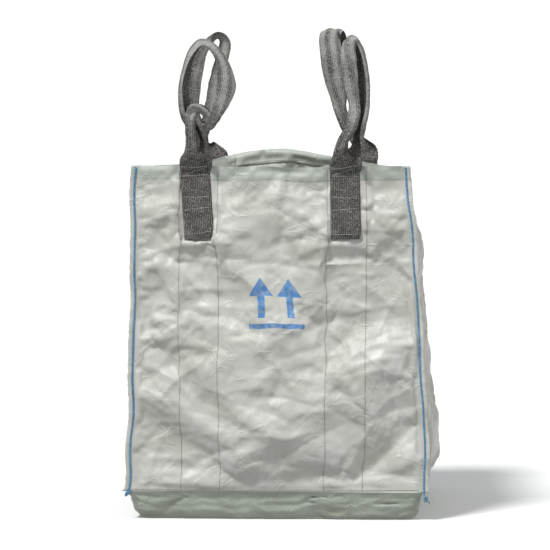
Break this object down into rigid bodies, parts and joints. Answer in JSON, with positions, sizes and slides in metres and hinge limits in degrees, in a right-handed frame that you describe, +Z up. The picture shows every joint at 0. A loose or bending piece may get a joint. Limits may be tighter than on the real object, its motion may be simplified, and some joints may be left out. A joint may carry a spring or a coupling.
{
  "type": "bulk bag",
  "caption": "Empty woven bulk bag, open at the top, with straight sewn walls, a tray-shaped base and upright lifting loops of dark webbing.",
  "frame": {"origin": "on the floor, under the middle of the base", "axes": "+Z up, +X along the front wall to its right-hand end seen from the front, -Y out of the front wall"},
  "size_m": [0.924, 1.0038, 1.4652],
  "materials": {
    "fabric": "coated woven polypropylene, semi-gloss, crumpled",
    "base": "coated woven polypropylene, greenish, semi-gloss",
    "strip": "uncoated woven polypropylene",
    "webbing": "coarse twill webbing, dark with pale flecks, matt",
    "blue_thread": "multifilament sewing thread, blue",
    "grey_thread": "multifilament sewing thread, dark grey",
    "pale_thread": "multifilament sewing thread, pale"
  },
  "bodies": {
    "bag": {"back_panel": "fabric", "base_panel": "base", "base_thread_back": "blue_thread", "base_thread_front": "blue_thread", "base_thread_left": "blue_thread", "base_thread_right": "blue_thread", "corner_looper_back_left": "blue_thread", "corner_looper_back_right": "blue_thread", "corner_looper_front_left": "blue_thread", "corner_looper_front_right": "blue_thread", "corner_needle_back_left": "blue_thread", "corner_needle_back_right": "blue_thread", "corner_needle_front_left": "blue_thread", "corner_needle_front_right": "blue_thread", "front_panel": "fabric", "hem_thread_back": "pale_thread", "hem_thread_front": "pale_thread", "hem_thread_left": "pale_thread", "hem_thread_right": "pale_thread", "left_panel": "fabric", "leg_back_left": "webbing", "leg_back_right": "webbing", "leg_front_left": "webbing", "leg_front_right": "webbing", "leg_stitch_back_left": "pale_thread", "leg_stitch_back_right": "pale_thread", "leg_stitch_front_left": "pale_thread", "leg_stitch_front_right": "pale_thread", "right_panel": "fabric", "strip_back_left": "strip", "strip_back_right": "strip", "strip_front_left": "strip", "strip_front_right": "strip", "strip_row_inner_back_left": "grey_thread", "strip_row_inner_back_right": "grey_thread", "strip_row_inner_front_left": "grey_thread", "strip_row_inner_front_right": "grey_thread", "strip_row_outer_back_left": "grey_thread", "strip_row_outer_back_right": "grey_thread", "strip_row_outer_front_left": "grey_thread", "strip_row_outer_front_right": "grey_thread"},
    "loop_front_left": {"loop_front_left": "webbing", "lap_stitch_front_left": "pale_thread"},
    "loop_back_left": {"loop_back_left": "webbing", "lap_stitch_back_left": "pale_thread"},
    "loop_front_right": {"loop_front_right": "webbing", "lap_stitch_front_right": "pale_thread"},
    "loop_back_right": {"loop_back_right": "webbing", "lap_stitch_back_right": "pale_thread"}
  },
  "joints": [
    {"name": "fold_front_left", "type": "hinge", "parent": "bag", "child": "loop_front_left", "pos_m": [-0.225, -0.4471, 1.081], "axis": [1, 0, 0], "range_deg": [-90, 150]},
    {"name": "fold_back_left", "type": "hinge", "parent": "bag", "child": "loop_back_left", "pos_m": [-0.225, 0.4471, 1.081], "axis": [1, 0, 0], "range_deg": [-150, 90]},
    {"name": "fold_front_right", "type": "hinge", "parent": "bag", "child": "loop_front_right", "pos_m": [0.225, -0.4471, 1.081], "axis": [1, 0, 0], "range_deg": [-90, 150]},
    {"name": "fold_back_right", "type": "hinge", "parent": "bag", "child": "loop_back_right", "pos_m": [0.225, 0.4471, 1.081], "axis": [1, 0, 0], "range_deg": [-150, 90]}
  ]
}
